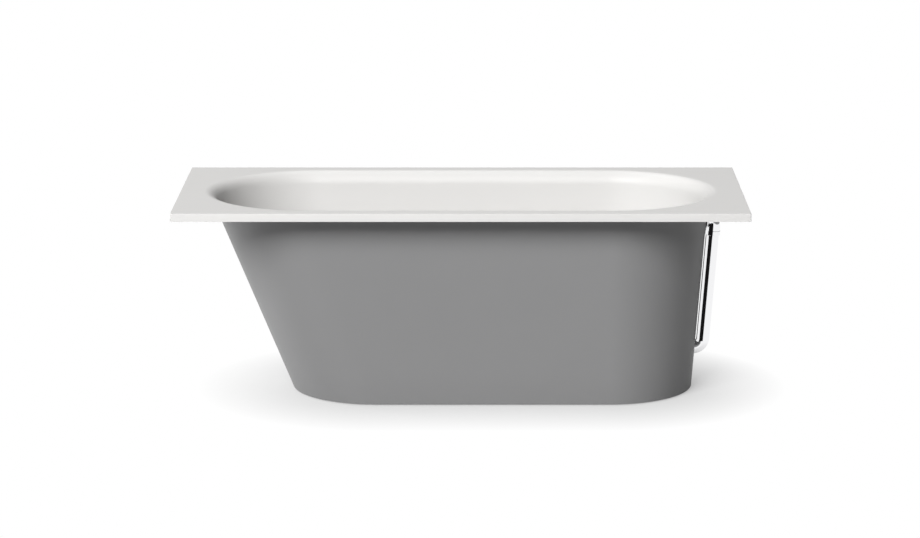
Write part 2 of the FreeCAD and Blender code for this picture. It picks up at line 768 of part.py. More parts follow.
def make_board():
    """Board under the basin, round at its corners and open at the foot end around the waste."""
    body = Part.makeBox(board_right_x - board_left_x, 2 * board_half_width, board_thickness,
                        vec(board_left_x, -board_half_width, board_underside))
    body = body.makeFillet(board_half_width * board_corner_share, corner_edges(body))
    slot = upright(board_slot_half_width, board_underside - nudge, tub_underside + nudge, waste_x)
    slot = slot.fuse(Part.makeBox(board_right_x - waste_x + nudge, 2 * board_slot_half_width,
                                  board_thickness + 2 * nudge,
                                  vec(waste_x, -board_slot_half_width, board_underside - nudge)))
    return drilled(body.cut(slot), foot_rod_hole_clearance)


def make_rail(x):
    """Channel of folded sheet, open downwards."""
    low = board_underside - rail_height
    body = Part.makeBox(rail_width, 2 * rail_half_length, rail_height,
                        vec(x - rail_width / 2, -rail_half_length, low))
    crown = [edge for edge in edges_at(body, lambda p: abs(p.z - board_underside) < near)
             if abs(edge.tangentAt(edge.FirstParameter).y) > 0.9]
    body = body.makeFillet(rail_bend_radius, crown)
    hollow = Part.makeBox(rail_width - 2 * rail_sheet, 2 * (rail_half_length + nudge), rail_height,
                          vec(x - rail_width / 2 + rail_sheet, -rail_half_length - nudge, low - rail_sheet))
    return drilled(body.cut(hollow), fitting_clearance)


def make_rail_screws():
    screws = []
    head_low = nut_top - screw_head_height
    for x, y in screw_places():
        head = upright(screw_head_radius, head_low, nut_top, x, y)
        head = head.makeFillet(screw_head_round, closed_edges_at(head, Z_AXIS, head_low))
        screws.append(head.fuse(screw_bar(x, y, 0)))
    return Part.makeCompound(screws)


def make_nuts(low):
    high = low + foot_nut_height
    bore = foot_rod_radius + slip_clearance
    return Part.makeCompound([
        hexagon(foot_nut_flats, low, high, x, y).cut(upright(bore, low - nudge, high + nudge, x, y))
        for x, y in foot_places()])


def make_foot_rod(x, y):
    rod = upright(foot_rod_radius, foot_socket_floor, rod_top, x, y)
    return rod.makeChamfer(foot_rod_chamfer, closed_edges_at(rod, Z_AXIS, rod_top))


def make_foot_pad(x, y):
    boss_top = foot_pad_height + foot_boss_height
    bore = foot_rod_radius + slip_clearance
    return turned([(0, 0), (foot_pad_radius - foot_pad_edge, 0), (foot_pad_radius, foot_pad_edge),
                   (foot_pad_radius, foot_pad_height - foot_boss_fillet),
                   (foot_pad_radius - foot_pad_shoulder, foot_pad_height),
                   (foot_boss_radius + foot_boss_fillet, foot_pad_height + nudge),
                   (foot_boss_radius, boss_top), (bore, boss_top), (bore, foot_socket_floor),
                   (0, foot_socket_floor)], x, y)


def make_all():
    nodes = {
        "tub_basin": make_tub(),
        "outer_casing": make_casing(),
        "base_board": make_board(),
        "rail_screws": make_rail_screws(),
        "weld_nuts": make_nuts(weld_nut_low),
        "lock_nuts": make_nuts(lock_nut_low),
        "overflow_cover": make_overflow_cover(),
        "overflow_screw": make_overflow_screw(),
        "overflow_ring": make_overflow_ring(),
        "overflow_ring_seal": make_overflow_ring_seal(),
        "overflow_elbow": make_overflow_elbow(),
        "overflow_gasket": make_overflow_gasket(),
        "overflow_nut": make_overflow_nut(),
        "overflow_tube_seal": make_overflow_tube_seal(),
        "overflow_tube": make_overflow_tube(),
        "tee_nut": make_tee_nut(),
        "tee_seal": make_tee_seal(),
        "waste_flange": make_waste_flange(),
        "waste_flange_seal": make_waste_flange_seal(),
        "waste_gasket": make_waste_gasket(),
        "waste_body": make_waste_body(),
        "plug_cap": make_plug_cap(),
        "plug_seal": make_plug_seal(),
        "plug_stem": make_plug_stem(),
        "plug_cartridge": make_plug_cartridge(),
        "trap_inlet_nut": make_union_nut(waste_x, outlet_end),
        "trap_inlet_seal": make_union_seal(waste_x, outlet_end),
        "trap_bend": make_trap_bend(),
        "cleaning_plug": make_cleaning_plug(),
        "trap_union_nut": make_union_nut(outlet_leg_x, union_joint),
        "trap_union_seal": make_union_seal(outlet_leg_x, union_joint),
        "trap_outlet": make_trap_outlet(),
    }
    for side, x in rail_xs.items():
        nodes["frame_rail_" + side] = make_rail(x)
        for depth, y in (("front", -foot_y), ("rear", foot_y)):
            nodes["foot_%s_%s_rod" % (depth, side)] = make_foot_rod(x, y)
            nodes["foot_%s_%s_pad" % (depth, side)] = make_foot_pad(x, y)
    return nodes


os.makedirs("parts", exist_ok=True)
for name, shape in make_all().items():
    if not shape.isValid():
        raise ValueError("%s is not a valid solid" % name)
    print("%-24s solids %2d  volume %10.0f mm3" % (name, len(shape.Solids), shape.Volume))
    shape.exportStep("parts/%s.step" % name)
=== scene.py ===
from collections import namedtuple
from math import atan, atan2, cos, pi, radians, sin, sqrt, tan

import bmesh
import bpy
from bpy.props import FloatProperty, FloatVectorProperty, IntProperty, PointerProperty
from mathutils import Matrix, Vector


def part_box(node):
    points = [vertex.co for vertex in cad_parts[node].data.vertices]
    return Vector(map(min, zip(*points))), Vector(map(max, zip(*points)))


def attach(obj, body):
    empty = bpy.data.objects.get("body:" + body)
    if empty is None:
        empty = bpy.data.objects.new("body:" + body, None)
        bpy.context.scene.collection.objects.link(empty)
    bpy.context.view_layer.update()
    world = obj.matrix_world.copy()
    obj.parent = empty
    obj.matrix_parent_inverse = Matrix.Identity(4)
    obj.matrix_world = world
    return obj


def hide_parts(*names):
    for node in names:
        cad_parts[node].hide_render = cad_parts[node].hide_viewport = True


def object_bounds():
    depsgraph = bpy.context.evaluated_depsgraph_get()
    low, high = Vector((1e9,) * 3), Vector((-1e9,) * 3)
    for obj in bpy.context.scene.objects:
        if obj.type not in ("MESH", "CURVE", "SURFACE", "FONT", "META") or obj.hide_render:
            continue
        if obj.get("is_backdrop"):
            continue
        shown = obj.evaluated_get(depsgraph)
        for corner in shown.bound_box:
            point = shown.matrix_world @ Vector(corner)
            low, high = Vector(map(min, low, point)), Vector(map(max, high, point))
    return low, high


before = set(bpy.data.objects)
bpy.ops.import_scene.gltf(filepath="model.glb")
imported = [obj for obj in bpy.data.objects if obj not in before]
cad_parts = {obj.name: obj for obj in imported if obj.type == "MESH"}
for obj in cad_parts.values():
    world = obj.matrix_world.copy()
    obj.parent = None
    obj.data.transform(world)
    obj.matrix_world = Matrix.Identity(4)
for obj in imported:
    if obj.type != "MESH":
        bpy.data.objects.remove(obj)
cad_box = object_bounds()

bl_info = {
    "name": "Alcove bathtub",
    "version": (1, 0, 0),
    "blender": (4, 5, 0),
    "location": "3D View > Sidebar > Bath",
    "description": "Models and finishes a built-in bathtub around its packed construction",
    "category": "Object",
}

MM = 0.001
DECK_LOW, DECK_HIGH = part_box("tub_basin")
BASE_LOW, BASE_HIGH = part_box("outer_casing")
FEET = ("foot_front_left", "foot_rear_left", "foot_front_right", "foot_rear_right")
X_AXIS = Vector((1, 0, 0))
Z_AXIS = Vector((0, 0, 1))
ORIGIN = Vector((0, 0, 0))
QUARTER = pi / 2
TOUCH = 1e-6  # points this close are one point
FLAT = 0.5  # a face is a floor where its normal rises or falls by more than this
SMOOTH_BELOW = radians(35)  # edges that turn by less are shaded smooth
MIX_FACTOR, MIX_FIRST, MIX_SECOND, MIX_RESULT = 0, 6, 7, 2  # a Mix node's sockets for colours


def length(name, description, millimetres):
    """A size that is shown in the scene's own length unit."""
    return FloatProperty(name=name, description=description, default=millimetres * MM, min=0.0,
                         unit="LENGTH", precision=5)


def coordinate(name, description, millimetres):
    """A place along an axis, which may be negative."""
    return FloatProperty(name=name, description=description, default=millimetres * MM,
                         unit="LENGTH", precision=5)


def colour(name, description, value):
    """A colour in linear light."""
    return FloatVectorProperty(name=name, description=description, default=value, size=3,
                               subtype="COLOR", min=0.0, max=1.0)


def share(name, description, value):
    return FloatProperty(name=name, description=description, default=value, min=0.0, max=1.0)


def angles(name, description, *degrees):
    """A lamp's side, turned from the foot end, its height and how wide it looks from the bath."""
    return FloatVectorProperty(name=name, description=description, size=3, subtype="EULER",
                               default=[radians(value) for value in degrees])


def watts(name, description, power):
    return FloatProperty(name=name, description=description, default=power, min=0.0,
                         subtype="POWER")


def count(name, description, value, least, most):
    return IntProperty(name=name, description=description, default=value, min=least, max=most)


def uprights(name, description, *millimetres):
    """Where a card's two edges stand: out, along, out, along in the pipe's frame."""
    return FloatVectorProperty(name=name, description=description, size=4, unit="LENGTH",
                               precision=5, default=[value * MM for value in millimetres])


# ---- settings

class TubSettings(bpy.types.PropertyGroup):
    """Sizes of the deck, the basin and the casing."""
    deck_thickness: length("Deck thickness", "Height of the deck's edge", 24)
    deck_corner: length("Deck corner", "Radius of the deck's corners in plan", 2.5)
    deck_edge: length("Deck edge", "Radius along the top edge of the deck", 1.2)
    half_top: length("Half width, top", "Half the casing's width under the deck", 306)
    half_base: length("Half width, base", "Half the casing's width at the floor", 262)
    foot_centre: coordinate("Foot end centre", "Centre of the round foot end", 442.5)
    head_tip_top: coordinate("Head tip, top", "End of the sloping backrest under the deck", -754.5)
    head_tip_base: coordinate("Head tip, base", "End of the sloping backrest at the floor", -515.5)
    casing_wall: length("Casing wall", "Thickness of the casing", 5)
    casing_edge: length("Casing edge", "Radius of the casing's bottom edge", 1.5)
    bond_gap: length("Bond gap", "Bonding compound between casing and basin", 0.5)
    basin_wall: length("Basin wall", "Thickness of the basin", 8.5)
    basin_depth: length("Basin depth", "Deck to floor at the waste", 436)
    floor_radius: length("Floor radius", "Sweep between wall and floor", 90)
    floor_fall: length("Floor fall", "Drop of the floor towards the waste", 10)
    lip_radius: length("Lip radius", "Soft edge of the basin's mouth", 42)
    waste_x: coordinate("Waste place", "Distance of the waste from the middle", 545)
    shoulder: length("Shoulder", "Flat strip beside each round edge that keeps the flats flat", 1.5)
    quarter_steps: count("Quarter steps", "Edges in a quarter of each round end", 40, 8, 96)
    sweep_steps: count("Sweep steps", "Edges across the lip and the floor sweep", 14, 4, 40)
    edge_steps: count("Edge steps", "Edges across a small rounded edge", 5, 2, 16)
    wall_steps: count("Wall steps", "Bands down a straight wall", 6, 1, 40)


class FittingSettings(bpy.types.PropertyGroup):
    """Sizes of the overflow, the waste and the feet."""
    pipe_radius: length("Pipe radius", "Outside radius of the overflow pipe", 20)
    pipe_wall: length("Pipe wall", "Wall of the overflow pipe", 1.8)
    pipe_height: length("Pipe height", "Height of the pipe's run into the casing", 118)
    pipe_bend: length("Pipe bend", "Centre-line radius of the bottom bend", 30)
    pipe_end: coordinate("Pipe end", "Where the pipe ends inside the waste tee", 576)
    pipe_clearance: length("Pipe clearance", "Gap round the pipe in the casing", 2)
    standoff: length("Standoff", "Gap between pipe and casing", 3.5)
    overflow_drop: length("Overflow drop", "Deck to the centre of the overflow", 88)
    elbow_radius: length("Elbow radius", "Outside radius of the elbow", 22)
    elbow_wall: length("Elbow wall", "Wall of the elbow", 4.5)
    shank_setback: length("Shank setback", "The elbow's shank stops this short of the basin", 1)
    socket_drop: length("Socket drop", "Overflow centre to the elbow's lower end", 44)
    socket_depth: length("Socket depth", "How far the pipe enters the elbow", 16)
    thread_radius: length("Thread radius", "Thread at the elbow's lower end", 21.2)
    thread_length: length("Thread length", "Length of that thread", 9)
    flange_radius: length("Flange radius", "Outside radius of the elbow's flange", 29)
    flange_thickness: length("Flange thickness", "Thickness of the elbow's flange", 4)
    gasket: length("Gasket", "Rubber between flange and casing", 2.5)
    nut_radius: length("Nut radius", "Outside radius of the ring nut", 23)
    nut_length: length("Nut length", "Length of the ring nut", 14)
    nut_floor: length("Nut floor", "Thickness of the nut's lower end", 2)
    nut_edge: length("Nut edge", "Chamfer of nut and flange", 0.8)
    clearance: length("Clearance", "Gap round the elbow's shank", 0.5)
    cover_radius: length("Cover radius", "Radius of the overflow cover", 36)
    seat_margin: length("Seat margin", "Flat seat beyond the cover", 2)
    waste_hole: length("Waste hole", "Radius of the hole in the floor", 26)
    waste_recess: length("Waste recess", "Radius of the sunk seat of the waste", 39)
    recess_depth: length("Recess depth", "Depth of the sunk seat of the waste", 3)
    reach: length("Reach", "How far a cutter runs past the wall that it opens", 40)
    rod_radius: length("Rod radius", "Outside radius of a levelling rod", 6)
    rod_core: length("Rod core", "Radius at the foot of its thread", 5)
    rod_pitch: length("Rod pitch", "Pitch of its thread", 1.75)
    round_steps: count("Round steps", "Edges round a pipe", 64, 16, 128)
    bend_steps: count("Bend steps", "Edges along a bend", 16, 4, 64)
    thread_steps: count("Thread steps", "Edges in a turn of thread", 16, 8, 64)


class FinishSettings(bpy.types.PropertyGroup):
    """Colours of the finishes."""
    white_tub: colour("White tub", "Cast sanitary white", (0.655, 0.648, 0.637))
    grey_casing: colour("Grey casing", "Matt grey of the casing", (0.222, 0.222, 0.224))
    chrome: colour("Chrome", "Polished plate", (0.90, 0.90, 0.91))
    zinc: colour("Zinc", "Bright zinc plate", (0.58, 0.60, 0.63))
    brass: colour("Brass", "Turned brass", (0.72, 0.53, 0.24))
    white_plastic: colour("White plastic", "Moulded pipe fittings", (0.66, 0.66, 0.65))
    rubber: colour("Rubber", "Seals and gaskets", (0.022, 0.022, 0.023))
    nylon: colour("Nylon", "Foot pads", (0.04, 0.04, 0.042))
    board: colour("Board", "Light flakes of the chipboard", (0.60, 0.44, 0.26))
    board_dark: colour("Board dark", "Dark flakes of the chipboard", (0.36, 0.23, 0.12))


class StageSettings(bpy.types.PropertyGroup):
    """Camera, lamps and floor."""
    camera_place: FloatVectorProperty(name="Camera place", description="Where the camera stands",
                                      default=(0.0608, -9.691, 2.459), subtype="XYZ", unit="LENGTH")
    camera_tilt: FloatProperty(name="Camera tilt", description="Angle from straight down",
                               default=radians(77.79), subtype="ANGLE")
    view_depth: length("View depth", "How far the camera sees", 200000)
    film_width: FloatProperty(name="Film width", description="Width of the frame in millimetres",
                              default=36.0, min=10.0, max=100.0)
    focal_length: FloatProperty(name="Focal length", description="Lens in millimetres",
                                default=127.2, min=10.0, max=400.0)
    sideways_shift: FloatProperty(name="Sideways shift", default=-0.0233,
                                  description="Lens shift that frames the bath")
    lamp_distance: length("Lamp distance", "From the bath's middle to each far lamp", 60000)
    low_distance: length("Low distance", "From the bath's middle to the low lamp", 2400)
    key: angles("Key lamp", "Side, height and spread of the lamp at the front left", -116, 38, 28)
    key_light: watts("Key light", "Power of the key lamp", 50800)
    fill: angles("Fill lamp", "The same for the lamp before the backrest end", -155, 28, 24)
    fill_light: watts("Fill light", "Power of the fill lamp", 1200)
    rim: angles("Rim lamp", "The same for the lamp behind the bath", 108, 52, 32)
    rim_light: watts("Rim light", "Power of the rim lamp", 11800)
    low: angles("Low lamp", "The same for the near lamp below the deck's level", 160, 0, 10)
    low_light: watts("Low light", "Power of the low lamp", 29)
    card_height: length("Card height", "Height of the cards beside the overflow pipe", 370)
    card_drop: length("Card drop", "Overflow centre to the middle of the cards", 195)
    # painted reflection: a glowing card, no lamp, that only mirrors see; it paints a light band
    # into the chrome pipe
    white_card: uprights("White card", "Card that draws the light band", 1.5, -21.5, 1.5, -5.7)
    white_card_light: share("White card light", "Its brightness", 1.0)
    # painted reflection: a near-black card that only mirrors see; it paints a dark band into the
    # chrome pipe
    black_card: uprights("Black card", "Card that draws the dark band", 6.8, -18.4, 22.8, -25.4)
    black_card_light: share("Black card light", "Its brightness", 0.008)
    reflected_light: share("Reflected light", "Strength of the surroundings in reflections", 0.25)
    floor_size: length("Floor size", "Side of the square floor", 60000)
    floor_drop: length("Floor drop", "How far the floor lies under the feet", 0.5)
    floor_white: share("Floor white", "Reflection of the floor", 0.49)
    shadow_lift: share("Shadow lift", "White added to the floor right beside the base", 0.46)
    shadow_reach: length("Shadow reach", "The floor is plain white this far from the base", 290)


# ---- shader maths

class Wire:
    """A value in a shader. Arithmetic on it adds Math nodes."""

    def __init__(self, tree, socket):
        self.tree = tree
        self.socket = socket

    def _math(self, operation, *values):
        node = self.tree.nodes.new("ShaderNodeMath")
        node.operation = operation
        for slot, value in zip(node.inputs, values):
            connect(self.tree, slot, value)
        return Wire(self.tree, node.outputs[0])

    def __add__(self, other):
        return self._math("ADD", self, other)

    __radd__ = __add__

    def __sub__(self, other):
        return self._math("SUBTRACT", self, other)

    def __rsub__(self, other):
        return self._math("SUBTRACT", other, self)

    def __mul__(self, other):
        return self._math("MULTIPLY", self, other)

    __rmul__ = __mul__

    def __truediv__(self, other):
        return self._math("DIVIDE", self, other)

    def __rtruediv__(self, other):
        return self._math("DIVIDE", other, self)

    def root(self):
        return self._math("SQRT", self)

    def clamped(self, low, high):
        return self._math("MAXIMUM", self._math("MINIMUM", self, high), low)

    def mapped(self, low, high):
        """From 0 at low to 1 at high, and level beyond them."""
        return ((self - low) / (high - low)).clamped(0.0, 1.0)


def connect(tree, slot, value):
    """Link a wire to a socket, or set the socket's own value."""
    if isinstance(value, Wire):
        tree.links.new(value.socket, slot)
    else:
        slot.default_value = value


class Finish:
    """A node material under construction."""

    def __init__(self, name):
        self.material = bpy.data.materials.new(name)
        self.material.use_nodes = True
        self.tree = self.material.node_tree
        self.tree.nodes.clear()

    def node(self, kind, settings=None, sockets=None, output=0):
        """Add one node: its settings first, then the values or links of its sockets."""
        node = self.tree.nodes.new(kind)
        for name, value in (settings or {}).items():
            setattr(node, name, value)
        for name, value in (sockets or {}).items():
            connect(self.tree, node.inputs[name], value)
        return Wire(self.tree, node.outputs[output])

    def spot(self):
        """The point's place in the piece's own coordinates."""
        return self.node("ShaderNodeTexCoord", output="Object")

    def grain(self, scale, detail=3.0, roughness=0.5):
        """Fine random variation over the piece, from 0 to 1; scale is in cells per metre."""
        sockets = {"Vector": self.spot(), "Scale": scale, "Detail": detail, "Roughness": roughness}
        return self.node("ShaderNodeTexNoise", {"noise_dimensions": "3D"}, sockets)

    def flakes(self, scale):
        """Grey level from 0 to 1 that changes from cell to cell; scale is in cells per metre."""
        sockets = {"Vector": self.spot(), "Scale": scale}
        cells = self.node("ShaderNodeTexVoronoi", {"feature": "F1"}, sockets, output="Color")
        return self.node("ShaderNodeRGBToBW", None, {"Color": cells})

    def blend(self, factor, first, second):
        """Mix two colours by a factor."""
        return self.node("ShaderNodeMix", {"data_type": "RGBA"},
                         {MIX_FACTOR: factor, MIX_FIRST: first, MIX_SECOND: second},
                         output=MIX_RESULT)

    def bump(self, height, strength, distance):
        """Dents from a height pattern; distance is their depth in metres."""
        return self.node("ShaderNodeBump", None,
                         {"Height": height, "Strength": strength, "Distance": distance})

    def surface(self, **sockets):
        """Close the material with one principled shader."""
        names = {name.replace("_", " ").title().replace("Ior", "IOR"): value
                 for name, value in sockets.items()}
        return self.close(self.node("ShaderNodeBsdfPrincipled", None, names))

    def close(self, shader):
        """Wire a shader to the material's output and hand the material over."""
        out = self.tree.nodes.new("ShaderNodeOutputMaterial")
        self.tree.links.new(shader.socket, out.inputs["Surface"])
        return self.material


def grey(level):
    return (level, level, level, 1.0)


def scaled(shade, factor=1.0):
    """A colour made darker or lighter, with its opacity added."""
    return tuple(min(1.0, channel * factor) for channel in shade[:3]) + (1.0,)


def tub_white(shade):
    """Satin white casting: an even colour with a trace of cloud and the faintest orange peel."""
    finish = Finish("tub white")
    cloud = finish.grain(scale=3.0, detail=2.0)
    peel = finish.grain(scale=220.0, detail=2.0)
    tone = finish.blend(cloud, scaled(shade, 0.985), scaled(shade, 1.01))
    return finish.surface(base_color=tone, roughness=peel * 0.06 + 0.46, coat_weight=0.05,
                          coat_roughness=0.25, specular_ior_level=0.28,
                          normal=finish.bump(peel, strength=0.05, distance=0.0004))


def tub_back(shade):
    """Rough back of the casting, with the print of its mould and stray fibres."""
    finish = Finish("tub back")
    rough = finish.grain(scale=90.0, detail=6.0, roughness=0.65)
    cloud = finish.grain(scale=9.0)
    tone = finish.blend(cloud, scaled(shade, 0.42), scaled(shade, 0.56))
    return finish.surface(base_color=tone, roughness=0.75,
                          normal=finish.bump(rough, strength=0.5, distance=0.002))


def casing_grey(shade):
    """Matt grey coat with a fine even stipple."""
    finish = Finish("casing grey")
    cloud = finish.grain(scale=2.5)
    stipple = finish.grain(scale=900.0, detail=2.0)
    tone = finish.blend(cloud, scaled(shade, 0.97), scaled(shade, 1.03))
    return finish.surface(base_color=tone, roughness=stipple * 0.10 + 0.46, specular_ior_level=0.25,
                          normal=finish.bump(stipple, strength=0.12, distance=0.0003))


def chrome_plate(shade):
    """Mirror plate with the slight ripple and haze of polishing."""
    finish = Finish("chrome plate")
    haze = finish.grain(scale=40.0, detail=4.0)
    ripple = finish.grain(scale=18.0, detail=1.0)
    return finish.surface(base_color=scaled(shade), metallic=1.0, roughness=haze * 0.03 + 0.02,
                          normal=finish.bump(ripple, strength=0.02, distance=0.0006))


def zinc_plate(shade):
    """Bright zinc with its crystal spangle and a bluish cast in places."""
    finish = Finish("zinc plate")
    spangle = finish.flakes(scale=160.0)
    tone = finish.blend(spangle, scaled(shade, 0.86), scaled(shade, 1.06))
    return finish.surface(base_color=tone, metallic=1.0, roughness=spangle * 0.22 + 0.28,
                          normal=finish.bump(spangle, strength=0.05, distance=0.0003))


def turned_brass(shade):
    """Bare brass with the haze of handling."""
    finish = Finish("turned brass")
    haze = finish.grain(scale=60.0)
    tone = finish.blend(haze, scaled(shade, 0.9), scaled(shade, 1.05))
    return finish.surface(base_color=tone, metallic=1.0, roughness=haze * 0.15 + 0.22)


def moulded(name, shade, roughness):
    """Moulded plastic with its spark-eroded grain."""
    finish = Finish(name)
    grain = finish.grain(scale=700.0, detail=2.0)
    cloud = finish.grain(scale=12.0, detail=2.0)
    tone = finish.blend(cloud, scaled(shade, 0.95), scaled(shade, 1.04))
    return finish.surface(base_color=tone, roughness=grain * 0.14 + roughness,
                          normal=finish.bump(grain, strength=0.18, distance=0.0003))


def chipboard(light, dark):
    """Pressed flakes of two tones."""
    finish = Finish("chipboard")
    flakes = finish.flakes(scale=230.0)
    fuzz = finish.grain(scale=500.0, detail=5.0)
    tone = finish.blend(flakes * 0.7 + fuzz * 0.3, scaled(dark), scaled(light))
    return finish.surface(base_color=tone, roughness=0.82,
                          normal=finish.bump(flakes, strength=0.3, distance=0.0006))


# ---- modelling by hand

def new_piece(name):
    """An empty mesh at the origin, opened in edit mode."""
    bpy.ops.object.select_all(action="DESELECT")
    piece = bpy.data.objects.new(name, bpy.data.meshes.new(name))
    bpy.context.collection.objects.link(piece)
    only(piece)
    bpy.ops.object.mode_set(mode="EDIT")
    bpy.ops.mesh.select_mode(type="VERT")
    return piece


def only(piece):
    """Make a piece the one selected, active object."""
    bpy.ops.object.select_all(action="DESELECT")
    piece.select_set(True)
    bpy.context.view_layer.objects.active = piece


def edit_mesh():
    """The open mesh, with its vertices numbered."""
    mesh = bmesh.from_edit_mesh(bpy.context.edit_object.data)
    mesh.verts.ensure_lookup_table()
    mesh.verts.index_update()
    return mesh


def chosen():
    """Indices of the selected vertices."""
    return [vert.index for vert in edit_mesh().verts if vert.select]


def choose(indices):
    """Select these vertices and nothing else."""
    bpy.ops.mesh.select_mode(type="VERT")
    bpy.ops.mesh.select_all(action="DESELECT")
    mesh = edit_mesh()
    for index in indices:
        mesh.verts[index].select_set(True)
    mesh.select_flush_mode()
    bmesh.update_edit_mesh(bpy.context.edit_object.data)


def push(offset):
    """Extrude the selection by an offset."""
    bpy.ops.mesh.extrude_region_move(TRANSFORM_OT_translate={"value": offset})


def join_open_ends():
    """Close a skin whose first and last loops are both open."""
    bpy.ops.mesh.select_mode(type="EDGE")
    bpy.ops.mesh.select_all(action="DESELECT")
    bpy.ops.mesh.select_non_manifold()
    bpy.ops.mesh.bridge_edge_loops()
    bpy.ops.mesh.select_mode(type="VERT")


def facing(axis):
    """The turn that points an object's own z along an axis."""
    return axis.to_track_quat("Z", "Y").to_euler()


def turn_rings(stations, origin, axis, steps):
    """Skin a round piece through (radius, place along its axis); the last ring stays selected."""
    radius, place = stations[0]
    bpy.ops.mesh.select_all(action="DESELECT")
    bpy.ops.mesh.primitive_circle_add(vertices=steps, radius=radius, location=origin + axis * place,
                                      rotation=facing(axis))
    carry_round(stations, origin, axis)


def carry_round(stations, origin, axis):
    """Extrude the selected round loop, which is the first station, to the others."""
    radius, place = stations[0]
    for new_radius, new_place in stations[1:]:
        push(ORIGIN)
        scale = new_radius / radius
        bpy.ops.transform.resize(value=(scale, scale, scale), center_override=origin + axis * place)
        bpy.ops.transform.translate(value=axis * (new_place - place))
        radius, place = new_radius, new_place


def finish_piece(piece):
    """Leave edit mode with merged seams and outward faces."""
    bpy.ops.mesh.select_mode(type="VERT")
    bpy.ops.mesh.select_all(action="SELECT")
    bpy.ops.mesh.remove_doubles(threshold=TOUCH)
    bpy.ops.mesh.normals_make_consistent(inside=False)
    bpy.ops.object.mode_set(mode="OBJECT")


def apply_modifier(piece, kind, **settings):
    """Add one modifier and make it part of the mesh."""
    modifier = piece.modifiers.new(kind.title(), kind)
    for name, value in settings.items():
        setattr(modifier, name, value)
    only(piece)
    bpy.ops.object.modifier_apply(modifier=modifier.name)


def cut_round(piece, radius, start, end, steps):
    """Bore a round hole or seat between two points, with a cylinder as the cutter."""
    axis = end - start
    bpy.ops.object.select_all(action="DESELECT")
    bpy.ops.mesh.primitive_cylinder_add(vertices=steps, radius=radius, depth=axis.length,
                                        location=(start + end) / 2, rotation=facing(axis))
    cutter = bpy.context.object
    apply_modifier(piece, "BOOLEAN", operation="DIFFERENCE", solver="EXACT", object=cutter)
    bpy.data.objects.remove(cutter, do_unlink=True)


def settle(piece, placement):
    """Carry a piece that was modelled in its own frame to its place; its origin stays at zero."""
    piece.matrix_world = placement
    only(piece)
    bpy.ops.object.transform_apply(location=True, rotation=True, scale=True)
    return piece


def dress(piece, material, body, slot, *replaced):
    """Smooth a new piece, give it its finish and its body, and hide the nodes that it stands for.
    """
    only(piece)
    bpy.ops.object.shade_smooth_by_angle(angle=SMOOTH_BELOW)
    piece.data.materials.append(material)
    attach(piece, body)
    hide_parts(*replaced)


# ---- oval skins

Ring = namedtuple("Ring", "half left right height")


def skin_slopes(tub):
    """Draft of the sides and lean of the backrest, as angles from upright."""
    tall = BASE_HIGH.z - BASE_LOW.z
    draft = atan((tub.half_top - tub.half_base) / tall)
    lean = atan((tub.head_tip_base - tub.head_tip_top) / tall)
    return draft, lean


def wall_stack(tub):
    """The casing's outer face to the inside of the basin."""
    return tub.casing_wall + tub.bond_gap + tub.basin_wall


def skin_ring(tub, height, inset):
    """The oval at one height of the skin that lies inset inside the casing's outer face."""
    draft, lean = skin_slopes(tub)
    rise = height - BASE_LOW.z
    half = tub.half_base + rise * tan(draft) - inset / cos(draft)
    tip = tub.head_tip_base - rise * tan(lean) + inset / cos(lean)
    return Ring(half, tip + half, tub.foot_centre, height)


def flat_ring(tub, height, inset, radius, outwards):
    """The oval where a flat face starts to turn into the sloping skin."""
    wall = skin_ring(tub, height, inset)
    side, head = (radius * tan((QUARTER - slope) / 2) for slope in skin_slopes(tub))
    half = wall.half + outwards * side
    tip = wall.left - wall.half - outwards * head
    return Ring(half, tip + half, wall.right, height)


def sweep_run(depth, radius, slope):
    """Sideways run of a round sweep at a depth; past its end it goes on along the sloping wall."""
    end = radius * (1 - sin(slope))
    if depth <= end:
        return sqrt(2 * radius * depth - depth * depth)
    return radius * cos(slope) + (depth - end) * tan(slope)


def swept_ring(tub, flat, depth, radius, downwards):
    """A ring of the round sweep that leaves a flat face, depth away from that face."""
    side, head = (sweep_run(depth, radius, slope) for slope in skin_slopes(tub))
    half = flat.half - downwards * side
    tip = flat.left - flat.half + downwards * head
    return Ring(half, tip + half, flat.right, flat.height - downwards * depth)


def quarter_turns(steps):
    """Angles from nothing to a quarter turn, both included."""
    return [QUARTER * step / steps for step in range(steps + 1)]


def sweep_depths(radius, steps):
    """Depths that divide a quarter round evenly by angle."""
    return [radius * (1 - cos(turn)) for turn in quarter_turns(steps)[1:]]


def wall_rings(tub, top, bottom, inset):
    """Rings down a straight stretch of wall, its last one included."""
    band = (bottom - top) / tub.wall_steps
    return [skin_ring(tub, top + band * step, inset) for step in range(1, tub.wall_steps + 1)]


def move_halves(old, new):
    """Carry the two round ends of the selected oval to the place and size of the next ring."""
    loop = chosen()
    mesh = edit_mesh()
    middle = (old.left + old.right) / 2
    ends = ([index for index in loop if mesh.verts[index].co.x < middle],
            [index for index in loop if mesh.verts[index].co.x >= middle])
    scale = new.half / old.half
    for end, old_x, new_x in zip(ends, (old.left, old.right), (new.left, new.right)):
        choose(end)
        bpy.ops.transform.resize(value=(scale, scale, 1), center_override=(old_x, 0, old.height))
        bpy.ops.transform.translate(value=(new_x - old_x, 0, new.height - old.height))
    choose(loop)


def lay_ring(ring, quarter_steps):
    """Draw an oval wire: a circle that has no point at its waist, with its halves drawn apart."""
    bpy.ops.mesh.select_all(action="DESELECT")
    bpy.ops.mesh.primitive_circle_add(vertices=4 * quarter_steps + 2, radius=ring.half,
                                      location=(0, 0, ring.height), rotation=(0, 0, QUARTER))
    move_halves(Ring(ring.half, 0, 0, ring.height), ring)
    return ring


def carry_loop(old, rings):
    """Extrude the selected oval from ring to ring and return the last one."""
    for new in rings:
        push(ORIGIN)
        move_halves(old, new)
        old = new
    return old


